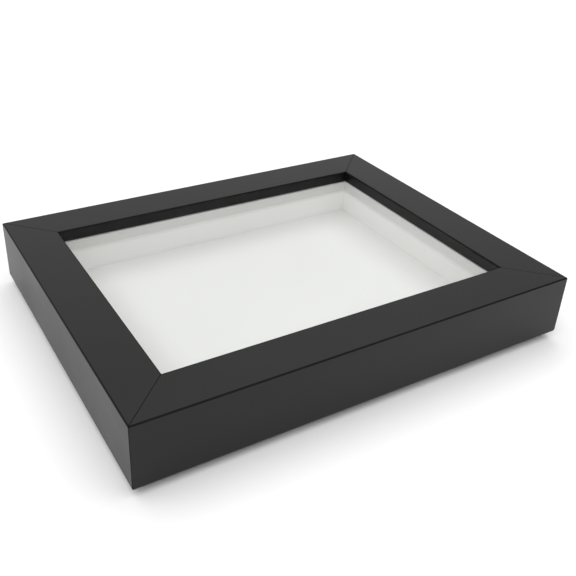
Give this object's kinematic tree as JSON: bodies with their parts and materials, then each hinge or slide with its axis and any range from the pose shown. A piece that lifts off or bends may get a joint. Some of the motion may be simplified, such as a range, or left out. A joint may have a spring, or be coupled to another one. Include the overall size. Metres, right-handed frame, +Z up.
{
  "type": "shadow box",
  "caption": "Rectangular black shadow box: a deep mitred frame with glass, a white-lined display space, a back board held by turn buttons, and ring hangers.",
  "frame": {"origin": "middle of the plane that the bumpers rest on, under the middle of the frame", "axes": "+Z up through the glass, +X along the long side, +Y towards the side that is up when the box hangs on a wall"},
  "size_m": [0.214, 0.168, 0.0335],
  "materials": {
    "frame_paint": "satin black lacquer over smooth wood; bare wood on the back",
    "glass": "clear float glass, polished",
    "liner_board": "matt white paper-faced board",
    "display_board": "matt white mount board",
    "hardboard": "plain brown hardboard",
    "zinc_plate": "zinc-plated steel sheet and wire",
    "screw_steel": "zinc-plated pan heads",
    "nail_steel": "plain steel strip",
    "bumper_rubber": "matt dark rubber"
  },
  "bodies": {
    "case": {"rail_front": "frame_paint", "rail_back": "frame_paint", "rail_left": "frame_paint", "rail_right": "frame_paint", "corner_v_nails": "nail_steel", "glass_pane": "glass", "liner_front": "liner_board", "liner_back": "liner_board", "liner_left": "liner_board", "liner_right": "liner_board", "turn_button_screws": "screw_steel", "hanger_strap_left": "zinc_plate", "hanger_strap_right": "zinc_plate", "hanger_screws": "screw_steel", "bumpers": "bumper_rubber"},
    "back": {"display_board": "display_board", "back_board": "hardboard"},
    "button_front_left": {"turn_button_front_left": "zinc_plate"},
    "button_front_right": {"turn_button_front_right": "zinc_plate"},
    "button_back_left": {"turn_button_back_left": "zinc_plate"},
    "button_back_right": {"turn_button_back_right": "zinc_plate"},
    "ring_left": {"hanger_ring_left": "zinc_plate"},
    "ring_right": {"hanger_ring_right": "zinc_plate"}
  },
  "joints": [
    {"name": "back_slide", "type": "slide", "parent": "case", "child": "back", "axis": [0, 0, -1], "range_m": [0, 0.035]},
    {"name": "turn_front_left", "type": "hinge", "parent": "case", "child": "button_front_left", "pos_m": [-0.04, -0.07575, 0.00228], "axis": [0, 0, 1], "continuous": true},
    {"name": "turn_front_right", "type": "hinge", "parent": "case", "child": "button_front_right", "pos_m": [0.04, -0.07575, 0.00228], "axis": [0, 0, 1], "continuous": true},
    {"name": "turn_back_left", "type": "hinge", "parent": "case", "child": "button_back_left", "pos_m": [-0.04, 0.07575, 0.00228], "axis": [0, 0, 1], "continuous": true},
    {"name": "turn_back_right", "type": "hinge", "parent": "case", "child": "button_back_right", "pos_m": [0.04, 0.07575, 0.00228], "axis": [0, 0, 1], "continuous": true},
    {"name": "swing_left", "type": "hinge", "parent": "case", "child": "ring_left", "pos_m": [-0.09875, 0.03, 0.00173], "axis": [-1, 0, 0], "range_deg": [0, 160]},
    {"name": "swing_right", "type": "hinge", "parent": "case", "child": "ring_right", "pos_m": [0.09875, 0.03, 0.00173], "axis": [-1, 0, 0], "range_deg": [0, 160]}
  ]
}
